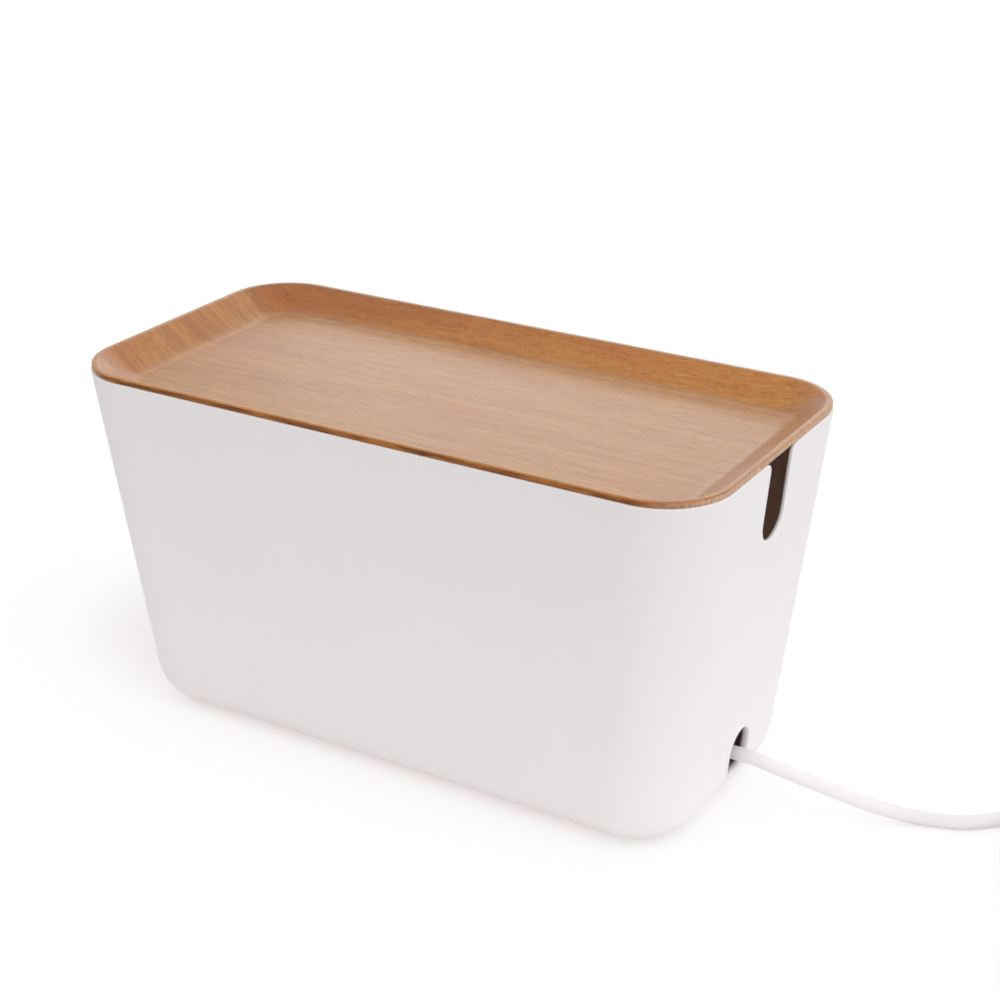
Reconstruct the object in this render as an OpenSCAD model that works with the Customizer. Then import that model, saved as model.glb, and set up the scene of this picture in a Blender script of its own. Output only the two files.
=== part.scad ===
// Cable management box: a tapered tub with a pressed-wood tray for a lid.
// It holds a power strip, whose lead leaves through a hole low in the end wall.
// Millimetres. The origin is on the standing surface under the middle of the tub,
// +X points to the end where the lead comes out, +Y to the back and +Z up.

/* [Tub] */
// Length over the rim
rim_l = 305; // [298:1:315]
// Width over the rim
rim_w = 151; // [145:1:160]
// Length at the bottom, before its edge is rounded
base_l = 275.6; // [272:0.2:282]
// Width at the bottom, before its edge is rounded
base_w = 121.2; // [118:0.2:126]
// Height of the tub without its feet
tub_h = 163.7; // [150:0.1:180]
// Plan radius of the four corners
corner_r = 30; // [27:0.5:34]
// Radius round the bottom edge
edge_r = 19; // [16:0.5:21]
// Thickness of the side walls
wall_t = 1.8; // [1.4:0.1:2.4]
// Thickness of the floor
floor_t = 2.5; // [2.2:0.1:3]

/* [Feet] */
// Radius of a foot pad
foot_r = 7; // [5:0.5:9]
// How far the pads stand out below the tub
foot_proud = 1.5; // [1:0.1:2.5]
// Depth of the recess that a pad is glued into
foot_recess = 1; // [0.5:0.1:1.4]
// Distance of the pads from the ends of the bottom
foot_from_end = 33.8; // [30:0.2:60]
// Distance of the pads from the sides of the bottom
foot_from_side = 31.6; // [30:0.2:40]

/* [Cable openings] */
// Width of the slot in the rim
slot_w = 20; // [16:0.5:24]
// Depth of the slot below the rim
slot_depth = 38; // [30:1:45]
// Radius where the slot's sides meet the rim
slot_mouth_r = 4.5; // [2:0.5:6]
// Width of the hole low in the end walls
hole_w = 18.5; // [16:0.5:21]
// Height of that hole
hole_h = 22.6; // [21:0.2:28]
// Height of its lower edge above the bottom of the tub
hole_rise = 13.4; // [8:0.2:14]

/* [Lid] */
// How far the lid's edge is set in from the rim
lid_inset = 0.5; // [0.2:0.1:0.9]
// Clearance between the lid and the rim
lid_gap = 0.3; // [0.2:0.05:0.5]
// Thickness of the pressed wood
lid_t = 2; // [1.6:0.1:2.4]
// Depth of the tray's dish
dish_depth = 10; // [8:0.5:12]
// Width of the flat lip round the dish
lip_w = 3; // [2.5:0.1:4]
// Width of the dish's sloping wall
dish_run = 13.5; // [12:0.5:16]
// Radius where the dish's wall meets its floor
dish_blend = 18; // [12:1:20]

/* [Power strip] */
// Number of sockets
sockets = 4; // [2:1:4]
// Width of the strip
strip_w = 54; // [52:1:60]
// Height of the strip's base
strip_base_h = 21; // [19:0.5:23]
// Height of the strip's cover
strip_cover_h = 21; // [20:0.5:24]
// Thickness of its housing
strip_wall = 2.2; // [1.8:0.1:2.6]
// Plan radius of its corners
strip_corner_r = 9; // [6:0.5:12]
// Radius along its long edges
strip_edge_r = 3; // [2:0.5:4]
// Distance from the strip's end to the end of the tub
lead_room = 41.8; // [40:0.2:46]
// Radius of a socket well
well_r = 19.5; // [19:0.1:20]
// Depth of a socket well
well_depth = 17.5; // [17:0.1:18]
// Thickness of a well's wall and floor
well_wall = 1.8; // [1.4:0.1:2]
// Radius of a socket's two pin holes
pin_hole_r = 2.7; // [2.6:0.05:3]

/* [Switch] */
// Length of the switch's flange along the strip
switch_l = 16; // [15:0.5:18]
// Width of the switch's flange across the strip
switch_w = 24; // [23:0.5:28]
// Depth of the switch below the flange
switch_depth = 14; // [13:0.5:15]
// Tilt of the rocker each way
rocker_tilt = 10; // [8:0.5:11]
// Radius of the rocker's pivots
pivot_r = 1.2; // [1:0.1:1.5]

/* [Lead and plug] */
// Diameter of the lead
cord_d = 6; // [5.8:0.1:6.2]
// Length of the bend sleeve on the strip
sleeve_l = 26; // [22:1:32]
// Radius of the plug's body
plug_r = 18.4; // [18:0.1:18.8]
// Height of the plug's body
plug_h = 30.5; // [29:0.5:33]
// Radius of the plug's pins
pin_r = 2.4; // [2.4:0.05:2.5]
// Free length of the plug's pins
pin_l = 19; // [19:0.5:20]
// Distance between the plug's pins
pin_pitch = 19; // [18.8:0.1:19.2]

/* [Hidden] */

// Smoothness of round things and plan corners, of rounded edges, and of the strip's corners
$fn = 64;
edge_fn = 24;
edge_steps = 4;
hull_fn = 32;
// How far a cutter runs past what it cuts
over = 1;
// Thickness of the slices that a hull is stretched between
slice = 0.01;

// Tub: heights, and the outward slope of its end and side walls
rim_z = foot_proud + tub_h;
floor_z = foot_proud + floor_t;
slope_l = (rim_l - base_l) / 2 / tub_h;
slope_w = (rim_w - base_w) / 2 / tub_h;
cut_l = rim_l + 4 * over;
foot_x = base_l / 2 - foot_from_end;
foot_y = base_w / 2 - foot_from_side;

// Lid: heights of its lip's two faces, and how far the slope moves in per millimetre down
lip_z = rim_z + lid_gap;
lid_top = lip_z + lid_t;
dish_slope = dish_run / dish_depth;
lip_edge_r = 0.45 * lid_t;
// Width of the lip's flat underside, which keeps the sloping wall as thick as the lip
lip_under = lip_w + lid_t * (dish_slope - sqrt(1 + dish_slope * dish_slope));

// Power strip: its heights, the bays along it and where each starts
parting_z = floor_z + strip_base_h;
strip_top = parting_z + strip_cover_h;
well_gap = 0.6;
well_pitch = 2 * (well_r + well_wall) + well_gap;
bay_gap = 1;
lead_bay = 20;
strip_l = 2 * strip_wall + bay_gap + sockets * well_pitch + switch_l + lead_bay;
strip_end = base_l / 2 - lead_room;
strip_start = strip_end - strip_l;
strip_mid = (strip_start + strip_end) / 2;
well_floor = strip_top - well_depth;
pin_y = pin_pitch / 2;
guide_w = 4.5;
guide_t = 1.6;
cable_z = parting_z;
cord_r = cord_d / 2;
fit = 0.05;

// Screw posts between the sockets, near the strip's long sides
post_r = 3.4;
post_y = strip_w / 2 - strip_wall - post_r - 1;
screw_r = 1.2;
head_r = 2.8;
head_h = 1.8;
head_well_r = 3;

// Contact rails
rib_h = 1;
rib_t = 1.6;
rail_z = floor_z + strip_wall + rib_h;
rail_t = 0.8;
rail_w = 7;
leaf_t = 0.6;
leaf_w = 6;
leaf_h = 14;
leaf_gap = 2 * pin_r + 0.2;
clip_w = 5;
clip_t = 0.6;
clip_x = well_r - 1.3;
clip_bow = 1.3;
clip_rise = 10;
rail_end = strip_end - strip_wall - lead_bay - switch_l + 1;
tab_h = 11;

// Switch
switch_x = strip_end - strip_wall - lead_bay - switch_l / 2;
flange_t = 1.5;
flange_lap = 1.6;
switch_wall = 1.2;
body_l = switch_l - 2 * flange_lap - 2 * fit;
body_w = switch_w - 2 * flange_lap - 2 * fit;
rocker_gap = 0.4;
rocker_l = body_l - 2 * switch_wall - 2 * rocker_gap;
rocker_w = body_w - 2 * switch_wall - 3.6;
pivot_z = strip_top - 2;
pivot_reach = switch_wall + rocker_gap - 0.2;
terminal_y = 5;
terminal_x = 4;
terminal_w = 4.8;
terminal_t = 0.8;
terminal_h = 6;
switch_floor = strip_top - switch_depth;

// Lead clamp
clamp_x = strip_end - strip_wall - 8.5;
clamp_l = 6;
clamp_t = 2.5;
clamp_y = 8.5;
clamp_reach = clamp_y + post_r;
jacket_end = clamp_x - 6;
seat_gap = 0.05;

// Wires inside the strip: their place in the jacket, and how far they run straight at an end
wire_r = 1.1;
wire_sides = 8;
core_y = 1.5;
core_z = 0.8;
straight = 1;

// Bend sleeve on the strip
gland_r = 5;
gland_flange_r = 7;
gland_flange_t = 2;
gland_tip_r = 4;
sleeve_tip = strip_end + sleeve_l;
groove_w = 1.4;
groove_d = 0.7;
grooves = 5;

// Route of the lead from the sleeve, through the low hole and over the surface to the coil
CORD_ROUTE = [
    [122, 0, 25],
    [128, 0, 25],
    [134, 0, 25],
    [140, 0, 25],
    [146, 0.5, 24.6],
    [152, 1, 23.8],
    [159, 2, 22],
    [167, 4.5, 19.3],
    [175, 8, 16],
    [183, 11.5, 12.7],
    [190, 15, 9.5],
    [198, 19, 6.6],
    [206, 22.5, 4.5],
    [213.5, 25.5, 3.3],
    [221, 28, 3],
    [229, 31, 3],
    [236, 36, 3],
    [242.5, 42, 3],
    [249, 47, 3],
    [256, 52.5, 3.3],
    [262, 57.5, 3.6]
];
// Where the lead leaves the coil again, and where it enters the plug's sleeve
TAIL_ROUTE = [
    [335.5, 9, 10],
    [333.5, 3.5, 9.4],
    [331.5, -2, 8.3],
    [330.5, -4.75, 8],
    [329.5, -7.5, 8]
];
cord_sides = 10;

// Coil: its middle, the radii and height that its turns fill, and the ties round it
coil_pos = [299, 33];
coil_in = 19.8;
coil_out = 45.6;
tie_t = 0.9;
tie_w = 9;
coil_h = 2 * cord_d + 0.1;
tie_turns = [60, 240];

// Plug, drawn standing on its back with the lead leaving it along -Y before it is turned
plug_lead_z = 8;
plug_grip_h = 13.5;
plug_grip_r = plug_r + 1;
plug_edge_r = 2;
pin_seat = 8;
pin_root_r = 2;
pin_tip_r = 1;
groove_y = plug_r - 1.8;
contact_w = 5.2;
contact_t = 0.8;
plug_sleeve_l = 28;
plug_sleeve_r = 4.6;
plug_seat = plug_r - 4;
// It stands where its sleeve meets the end of the lead
tail_end = TAIL_ROUTE[len(TAIL_ROUTE) - 1];
tail_turn = TAIL_ROUTE[0] - tail_end;
plug_turn = atan2(tail_turn[0], -tail_turn[1]);
plug_reach = plug_grip_r + plug_sleeve_l;
plug_pos = [tail_end[0] - plug_reach * sin(plug_turn), tail_end[1] + plug_reach * cos(plug_turn)];

// Colours
tub_white = [0.93, 0.92, 0.91];
wood = [0.72, 0.46, 0.29];
strip_white = [0.9, 0.9, 0.89];
pad_grey = [0.6, 0.6, 0.6];
brass = [0.83, 0.68, 0.36];
steel = [0.72, 0.73, 0.75];
switch_red = [0.75, 0.12, 0.1];
dark = [0.13, 0.13, 0.14];

// Plan sizes of the tub at a height, outside and inside
function outer_l(z) = base_l + 2 * slope_l * (z - foot_proud);
function outer_w(z) = base_w + 2 * slope_w * (z - foot_proud);
function inner_l(z) = outer_l(z) - 2 * wall_t * sqrt(1 + slope_l * slope_l);
function inner_w(z) = outer_w(z) - 2 * wall_t * sqrt(1 + slope_w * slope_w);

// Outline of the lid at a distance in from its edge: length, width and corner radius
function lid_plan(s) = [
    rim_l - 2 * (lid_inset + s), rim_w - 2 * (lid_inset + s), corner_r - lid_inset - s
];

// Middle of a socket along the strip
function well_x(i) = strip_start + strip_wall + bay_gap + (i + 0.5) * well_pitch;

// Frame of a swept tube: direction at a point, and the ring of points round it
function unit(v) = v / norm(v);
function heading(path, i) = unit(path[min(i + 1, len(path) - 1)] - path[max(i - 1, 0)]);
function ring(p, t, r, n) =
    let(side = unit(cross(t, [0, 0, 1])), up = cross(side, t))
    [for (k = [0:n - 1]) p + r * (cos(360 * k / n) * side + sin(360 * k / n) * up)];

// Puts its child at the four corners of a plan [length, width, radius]
module at_corners(plan) {
    for (sx = [-1, 1], sy = [-1, 1])
        translate([sx * (plan[0] / 2 - plan[2]), sy * (plan[1] / 2 - plan[2]), 0])
            children();
}

// Tub between two plans [length, width, radius], with a rounded bottom edge
module tub_form(base, top, h, edge) {
    slope = (top[0] - base[0]) / 2 / h;
    length = sqrt(1 + slope * slope);
    inset = edge * (length - slope);
    hull() {
        at_corners(base)
            translate([0, 0, edge])
                rotate_extrude()
                    intersection() {
                        translate([base[2] - inset, 0])
                            circle(r = edge, $fn = 2 * edge_fn);
                        translate([0, -edge])
                            square([base[2] + edge, edge * (1 - slope / length)]);
                    }
        translate([0, 0, h - slice])
            at_corners(top)
                cylinder(r = top[2], h = slice);
    }
}

// Flat plate with a rounded rim
module plate_form(plan, h, edge) {
    hull()
        at_corners(plan)
            rotate_extrude()
                for (z = [edge, h - edge])
                    translate([plan[2] - edge, z])
                        circle(r = edge, $fn = edge_fn);
}

// Tube swept along a path
module swept_tube(path, r, n) {
    last = len(path) - 1;
    points = [for (i = [0:last]) each ring(path[i], heading(path, i), r, n)];
    sides = [
        for (i = [0:last - 1], k = [0:n - 1])
            let(a = i * n + k, b = i * n + (k + 1) % n)
            each [[a, b, b + n], [a, b + n, a + n]]
    ];
    caps = [[for (k = [n - 1:-1:0]) k], [for (k = [0:n - 1]) last * n + k]];
    polyhedron(points = points, faces = concat(sides, caps));
}

// Bar across the whole tub with two round ends one above the other, for cutting a cable hole
module obround_cutter(w, h, z) {
    for (cz = [z + w / 2, z + h - w / 2])
        translate([0, 0, cz])
            rotate([0, 90, 0])
                cylinder(r = w / 2, h = cut_l, center = true);
    translate([-cut_l / 2, -w / 2, z + w / 2])
        cube([cut_l, w, h - w]);
}

// Slot with a round bottom and flared mouth, cut down from the rim at both ends
module slot_cutter() {
    obround_cutter(slot_w, slot_depth + slot_w, rim_z - slot_depth);
    for (side = [-1, 1])
        difference() {
            translate([-cut_l / 2, side > 0 ? 0 : -slot_w / 2 - slot_mouth_r, rim_z - slot_mouth_r])
                cube([cut_l, slot_w / 2 + slot_mouth_r, slot_mouth_r + over]);
            translate([0, side * (slot_w / 2 + slot_mouth_r), rim_z - slot_mouth_r])
                rotate([0, 90, 0])
                    cylinder(r = slot_mouth_r, h = cut_l + over, center = true);
        }
}

module box_shell() {
    inner_r = corner_r - wall_t;
    inner_top = rim_z + over;
    color(tub_white)
        difference() {
            translate([0, 0, foot_proud])
                tub_form([base_l, base_w, corner_r], [rim_l, rim_w, corner_r], tub_h, edge_r);
            translate([0, 0, floor_z])
                tub_form(
                    [inner_l(floor_z), inner_w(floor_z), inner_r],
                    [inner_l(inner_top), inner_w(inner_top), inner_r],
                    inner_top - floor_z, edge_r - wall_t
                );
            slot_cutter();
            obround_cutter(hole_w, hole_h, foot_proud + hole_rise);
            for (sx = [-1, 1], sy = [-1, 1])
                translate([sx * foot_x, sy * foot_y, foot_proud - over])
                    cylinder(r = foot_r + fit, h = foot_recess + over);
        }
}

// Foot pad with a bevelled lower edge, glued into its recess
module foot(sx, sy) {
    bevel = 0.5;
    color(pad_grey)
        translate([sx * foot_x, sy * foot_y, 0]) {
            cylinder(r1 = foot_r - bevel, r2 = foot_r, h = bevel);
            translate([0, 0, bevel])
                cylinder(r = foot_r, h = foot_proud + foot_recess - bevel);
        }
}

// Tray pressed from one sheet: a lip that rests on the rim, sloping walls and a sunk floor
module lid_tray() {
    under_in = lip_under + dish_slope * dish_depth;
    dish_in = lip_w + dish_run;
    above = over;
    color(wood)
        difference() {
            union() {
                translate([0, 0, lip_z])
                    plate_form(lid_plan(0), lid_t, lip_edge_r);
                translate([0, 0, lip_z - dish_depth])
                    tub_form(lid_plan(under_in), lid_plan(lip_under), dish_depth, dish_blend + lid_t);
            }
            translate([0, 0, lid_top - dish_depth])
                tub_form(
                    lid_plan(dish_in), lid_plan(lip_w - dish_slope * above),
                    dish_depth + above, dish_blend
                );
        }
}

// Outside of a strip half, standing on its rounded edge, grown or shrunk all round
module strip_half(h, grow) {
    r = strip_corner_r + grow;
    edge = strip_edge_r + grow / 2;
    hull()
        at_corners([strip_l + 2 * grow, strip_w + 2 * grow, r])
            rotate_extrude($fn = hull_fn)
                polygon([
                    [0, 0],
                    for (a = [0:90 / edge_steps:90]) [r - edge * (1 - sin(a)), edge * (1 - cos(a))],
                    [r, h],
                    [0, h]
                ]);
}

// Puts its child at each screw post: beside the joints between sockets
module at_posts() {
    for (i = [1, sockets - 1], sy = [-1, 1])
        translate([well_x(i) - well_pitch / 2, sy * post_y, 0])
            children();
}

// Cable entry at the strip's end wall
module gland_cutter() {
    translate([strip_end - strip_wall - over, 0, cable_z])
        rotate([0, 90, 0])
            cylinder(r = gland_r + fit, h = strip_wall + 2 * over);
}

module strip_base() {
    inner_h = strip_base_h - strip_wall;
    inner_z = floor_z + strip_wall;
    color(strip_white)
        difference() {
            union() {
                difference() {
                    translate([strip_mid, 0, floor_z])
                        strip_half(strip_base_h, 0);
                    translate([strip_mid, 0, inner_z])
                        strip_half(inner_h + over, -strip_wall);
                }
                at_posts()
                    translate([0, 0, inner_z - slice])
                        cylinder(r = post_r, h = inner_h + slice);
                for (i = [0:sockets])
                    translate([
                        strip_start + strip_wall + bay_gap + i * well_pitch - rib_t / 2,
                        -post_y + post_r, inner_z - slice
                    ])
                        cube([rib_t, 2 * (post_y - post_r), rib_h + slice]);
                for (sy = [-1, 1])
                    translate([clamp_x, sy * clamp_y, inner_z - slice])
                        cylinder(r = post_r, h = cable_z + cord_r - inner_z + slice);
                translate([clamp_x - clamp_l / 2, -cord_r, inner_z - slice])
                    cube([clamp_l, cord_d, cable_z - cord_r - seat_gap - inner_z + slice]);
            }
            gland_cutter();
            at_posts() {
                translate([0, 0, floor_z - over])
                    cylinder(r = screw_r + fit, h = strip_base_h + 2 * over);
                translate([0, 0, floor_z - over])
                    cylinder(r = head_well_r, h = head_h + over + seat_gap);
            }
            for (sy = [-1, 1])
                translate([clamp_x, sy * clamp_y, inner_z + over])
                    cylinder(r = screw_r + fit, h = strip_base_h + strip_cover_h);
        }
}

// Room inside one socket: a well with two guide ribs, two pin holes and two slots for the clips
module socket_cutter() {
    difference() {
        translate([0, 0, well_floor])
            cylinder(r = well_r, h = well_depth + over);
        for (sy = [-1, 1])
            translate([-guide_w / 2, sy > 0 ? well_r - guide_t : -well_r - over, well_floor - over])
                cube([guide_w, guide_t + over, well_depth + 3 * over]);
    }
    for (sy = [-1, 1])
        translate([0, sy * pin_y, well_floor - well_wall - over])
            cylinder(r = pin_hole_r, h = well_wall + 2 * over);
    for (sx = [-1, 1])
        translate([sx * clip_x - clip_t, -clip_w / 2 - clip_t / 2, well_floor - well_wall - over])
            cube([2 * clip_t, clip_w + clip_t, well_wall + 2 * over]);
}

module strip_cover() {
    color(strip_white)
        difference() {
            union() {
                difference() {
                    translate([strip_mid, 0, strip_top])
                        mirror([0, 0, 1])
                            strip_half(strip_cover_h, 0);
                    translate([strip_mid, 0, strip_top - strip_wall])
                        mirror([0, 0, 1])
                            strip_half(strip_cover_h - strip_wall + over, -strip_wall);
                }
                for (i = [0:sockets - 1])
                    translate([well_x(i), 0, well_floor - well_wall])
                        cylinder(r = well_r + well_wall, h = well_depth + well_wall);
                at_posts()
                    translate([0, 0, parting_z])
                        cylinder(r = post_r, h = strip_cover_h - strip_wall / 2);
            }
            for (i = [0:sockets - 1])
                translate([well_x(i), 0, 0])
                    socket_cutter();
            at_posts()
                translate([0, 0, parting_z - over])
                    cylinder(r = screw_r + fit, h = strip_cover_h / 2 + over);
            gland_cutter();
            translate([switch_x - body_l / 2 - fit, -body_w / 2 - fit, parting_z])
                cube([body_l + 2 * fit, body_w + 2 * fit, strip_cover_h + over]);
        }
}

// Pan-head screw standing on its head
module screw(length) {
    cylinder(r = head_r, h = head_h);
    translate([0, 0, head_h])
        cylinder(r = screw_r, h = length);
}

module strip_screws() {
    color(steel)
        at_posts()
            translate([0, 0, floor_z + seat_gap])
                screw(strip_base_h + strip_cover_h / 2 - head_h - over);
}

// One contact rail: a flat bar, a pair of leaves under each pin hole and a tab at its end
module contact_rail(y) {
    start = well_x(0) - leaf_w;
    color(brass)
        translate([0, y, rail_z]) {
            translate([start, -rail_w / 2, 0])
                cube([rail_end - start, rail_w, rail_t]);
            for (i = [0:sockets - 1], side = [-1, 1])
                translate([well_x(i) + side * (leaf_gap + leaf_t) / 2 - leaf_t / 2, -leaf_w / 2, rail_t - slice])
                    cube([leaf_t, leaf_w, leaf_h + slice]);
            translate([rail_end - rail_t, -terminal_w / 2, rail_t - slice])
                cube([rail_t, terminal_w, tab_h + slice]);
        }
}

// Earth rail: a flat bar with two bowed spring clips that rise into each socket well
module earth_rail() {
    start = well_x(0) - clip_x - clip_w / 2;
    tip_z = well_floor + clip_rise - rail_z;
    bow_z = tip_z - 2;
    knee_z = well_floor - rail_z + 1;
    color(steel)
        translate([0, 0, rail_z]) {
            translate([start, -clip_w / 2, 0])
                cube([rail_end - start, clip_w, rail_t]);
            for (i = [0:sockets - 1], side = [-1, 1])
                translate([well_x(i), 0, 0])
                    mirror([side > 0 ? 0 : 1, 0, 0])
                        rotate([90, 0, 0])
                            linear_extrude(clip_w, center = true)
                                polygon([
                                    [clip_x - clip_t / 2, rail_t - slice],
                                    [clip_x + clip_t / 2, rail_t - slice],
                                    [clip_x + clip_t / 2, knee_z],
                                    [clip_x + clip_t / 2 - clip_bow, bow_z],
                                    [clip_x + clip_t / 2, tip_z],
                                    [clip_x - clip_t / 2, tip_z],
                                    [clip_x - clip_t / 2 - clip_bow, bow_z],
                                    [clip_x - clip_t / 2, knee_z]
                                ]);
            translate([rail_end - rail_t, -clip_w / 2, rail_t - slice])
                cube([rail_t, clip_w, tab_h / 2 + slice]);
        }
}

module switch_frame() {
    color(dark)
        difference() {
            union() {
                translate([switch_x - switch_l / 2, -switch_w / 2, strip_top])
                    cube([switch_l, switch_w, flange_t]);
                translate([switch_x - body_l / 2, -body_w / 2, switch_floor])
                    cube([body_l, body_w, switch_depth + slice]);
            }
            translate([
                switch_x - body_l / 2 + switch_wall, -body_w / 2 + switch_wall,
                switch_floor + switch_wall
            ])
                cube([body_l - 2 * switch_wall, body_w - 2 * switch_wall, switch_depth + flange_t + over]);
            translate([switch_x, 0, pivot_z])
                rotate([0, 90, 0])
                    cylinder(r = pivot_r + fit, h = body_l + 2 * over, center = true);
        }
}

// Rocker with a dished face, at rest with its back half pressed down
module switch_rocker() {
    half = rocker_w / 2;
    face_z = 3;
    horn_z = face_z + half * tan(rocker_tilt);
    skirt = 4;
    color(switch_red)
        translate([switch_x, 0, pivot_z])
            rotate([-rocker_tilt, 0, 0]) {
                rotate([90, 0, 90])
                    linear_extrude(rocker_l, center = true)
                        polygon([
                            [0, face_z], [-half, horn_z], [-half, 0], [-half + 1, -skirt],
                            [half - 1, -skirt], [half, 0], [half, horn_z]
                        ]);
                rotate([0, 90, 0])
                    cylinder(r = pivot_r, h = rocker_l + 2 * pivot_reach, center = true);
            }
}

module switch_terminals() {
    color(brass)
        for (sx = [-1, 1], sy = [-1, 1])
            translate([
                switch_x + sx * terminal_x - terminal_t / 2, sy * terminal_y - terminal_w / 2,
                switch_floor - terminal_h
            ])
                cube([terminal_t, terminal_w, terminal_h]);
}

// Wires of one pole: from the jacket to the switch, and from the switch to a contact rail
module pole_leads(side) {
    near = switch_x + terminal_x + terminal_t / 2;
    wire_z = switch_floor - terminal_h / 2;
    swept_tube([
        [jacket_end, side * core_y, cable_z + core_z],
        [jacket_end - straight, side * core_y, cable_z + core_z],
        [near + straight, side * terminal_y, wire_z],
        [near, side * terminal_y, wire_z]
    ], wire_r, wire_sides);
    swept_tube([
        [switch_x - terminal_x, side * terminal_y, switch_floor - terminal_h - wire_r],
        [rail_end - rail_t / 2, side * pin_y, rail_z + rail_t + tab_h + wire_r]
    ], wire_r, wire_sides);
}

module live_leads() {
    color("saddlebrown")
        pole_leads(1);
}

module neutral_leads() {
    color("steelblue")
        pole_leads(-1);
}

module earth_lead() {
    earth_z = rail_z + tab_h / 2 - wire_r;
    color("yellowgreen")
        swept_tube([
            [jacket_end, 0, cable_z - 2 * core_z],
            [jacket_end - straight, 0, cable_z - 2 * core_z],
            [switch_x, 0, earth_z + 1],
            [rail_end + straight, 0, earth_z],
            [rail_end, 0, earth_z]
        ], wire_r, wire_sides);
}

// Bar that presses the lead's jacket onto its saddle
module cord_clamp() {
    color(strip_white)
        difference() {
            translate([clamp_x - clamp_l / 2, -clamp_reach, cable_z + cord_r + seat_gap])
                cube([clamp_l, 2 * clamp_reach, clamp_t]);
            for (sy = [-1, 1])
                translate([clamp_x, sy * clamp_y, cable_z])
                    cylinder(r = screw_r + fit, h = cord_d + clamp_t);
        }
}

module clamp_screws() {
    reach = 12;
    color(steel)
        for (sy = [-1, 1])
            translate([clamp_x, sy * clamp_y, cable_z + cord_r + seat_gap + clamp_t + head_h])
                mirror([0, 0, 1])
                    screw(reach);
}

// Bend sleeve: a flange held inside the end wall, a neck through it and a ribbed taper outside
module strip_sleeve() {
    inside = strip_end - strip_wall - gland_flange_t;
    taper = (gland_r - gland_tip_r) / sleeve_l;
    color(strip_white)
        translate([inside, 0, cable_z])
            rotate([0, 90, 0])
                difference() {
                    union() {
                        cylinder(r = gland_flange_r, h = gland_flange_t);
                        cylinder(r = gland_r, h = gland_flange_t + strip_wall + slice);
                        translate([0, 0, gland_flange_t + strip_wall])
                            cylinder(r1 = gland_r, r2 = gland_tip_r, h = sleeve_l);
                    }
                    translate([0, 0, -over])
                        cylinder(r = cord_r + fit, h = sleeve_tip - inside + 2 * over);
                    for (i = [1:grooves])
                        translate([0, 0, gland_flange_t + strip_wall + i * sleeve_l / (grooves + 1)])
                            difference() {
                                cylinder(r = gland_flange_r, h = groove_w, center = true);
                                cylinder(
                                    r = gland_r - taper * i * sleeve_l / (grooves + 1) - groove_d,
                                    h = groove_w + over, center = true
                                );
                            }
                }
}

// Jacket of the lead inside the strip and its sleeve
module cord_inner_end() {
    color(tub_white)
        translate([jacket_end, 0, cable_z])
            rotate([0, 90, 0])
                cylinder(r = cord_r, h = sleeve_tip - jacket_end);
}

module mains_cord() {
    color(tub_white)
        swept_tube(CORD_ROUTE, cord_r, cord_sides);
}

module cord_coil() {
    color(tub_white)
        translate([coil_pos[0], coil_pos[1], tie_t])
            rotate_extrude()
                translate([coil_in, 0])
                    square([coil_out - coil_in, coil_h]);
}

// Straps round the coil's bundle of turns
module coil_ties() {
    color(dark)
        translate([coil_pos[0], coil_pos[1], 0])
            for (turn = tie_turns)
                intersection() {
                    rotate_extrude()
                        difference() {
                            translate([coil_in - tie_t, 0])
                                square([coil_out - coil_in + 2 * tie_t, coil_h + 2 * tie_t]);
                            translate([coil_in, tie_t])
                                square([coil_out - coil_in, coil_h]);
                        }
                    rotate([0, 0, turn])
                        translate([0, -tie_w / 2, -over])
                            cube([coil_out + 2 * over, tie_w, coil_h + 4 * over]);
                }
}

module cord_tail() {
    color(tub_white)
        swept_tube(TAIL_ROUTE, cord_r, cord_sides);
}

// Puts its child at the plug's place
module at_plug() {
    translate([plug_pos[0], plug_pos[1], 0])
        rotate([0, 0, plug_turn])
            children();
}

// Plug body: a wider grip at its back, and grooves in its side for the guide ribs and contacts
module plug_body() {
    color(tub_white)
        at_plug()
            difference() {
                union() {
                    cylinder(r1 = plug_grip_r - plug_edge_r, r2 = plug_grip_r, h = plug_edge_r);
                    translate([0, 0, plug_edge_r])
                        cylinder(r = plug_grip_r, h = plug_grip_h - plug_edge_r);
                    cylinder(r = plug_r, h = plug_h);
                }
                for (side = [-1, 1]) {
                    translate([side * pin_pitch / 2, 0, plug_h - pin_seat])
                        cylinder(r = pin_root_r + fit, h = pin_seat + over);
                    translate([side > 0 ? groove_y : -plug_r - over, -guide_w / 2 - fit, plug_grip_h])
                        cube([plug_r - groove_y + over, guide_w + 2 * fit, plug_h]);
                    translate([-contact_w / 2, side > 0 ? groove_y : -plug_r - over, plug_grip_h])
                        cube([contact_w, plug_r - groove_y + over, plug_h]);
                }
                translate([0, -plug_seat, plug_lead_z])
                    rotate([90, 0, 0])
                        cylinder(r = plug_sleeve_r + fit, h = plug_grip_r);
            }
}

// Two pins with bevelled noses, each with a slimmer root seated in the body
module plug_pins() {
    color(steel)
        at_plug()
            for (side = [-1, 1])
                translate([side * pin_pitch / 2, 0, plug_h]) {
                    translate([0, 0, -pin_seat])
                        cylinder(r = pin_root_r, h = pin_seat + over);
                    cylinder(r = pin_r, h = pin_l - pin_tip_r);
                    translate([0, 0, pin_l - pin_tip_r])
                        cylinder(r1 = pin_r, r2 = pin_r - pin_tip_r, h = pin_tip_r);
                }
}

module plug_earth_contacts() {
    color(steel)
        at_plug()
            for (side = [-1, 1])
                translate([
                    -contact_w / 2 + fit, side > 0 ? groove_y : -groove_y - contact_t, plug_grip_h
                ])
                    cube([contact_w - 2 * fit, contact_t, plug_h - plug_grip_h]);
}

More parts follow.
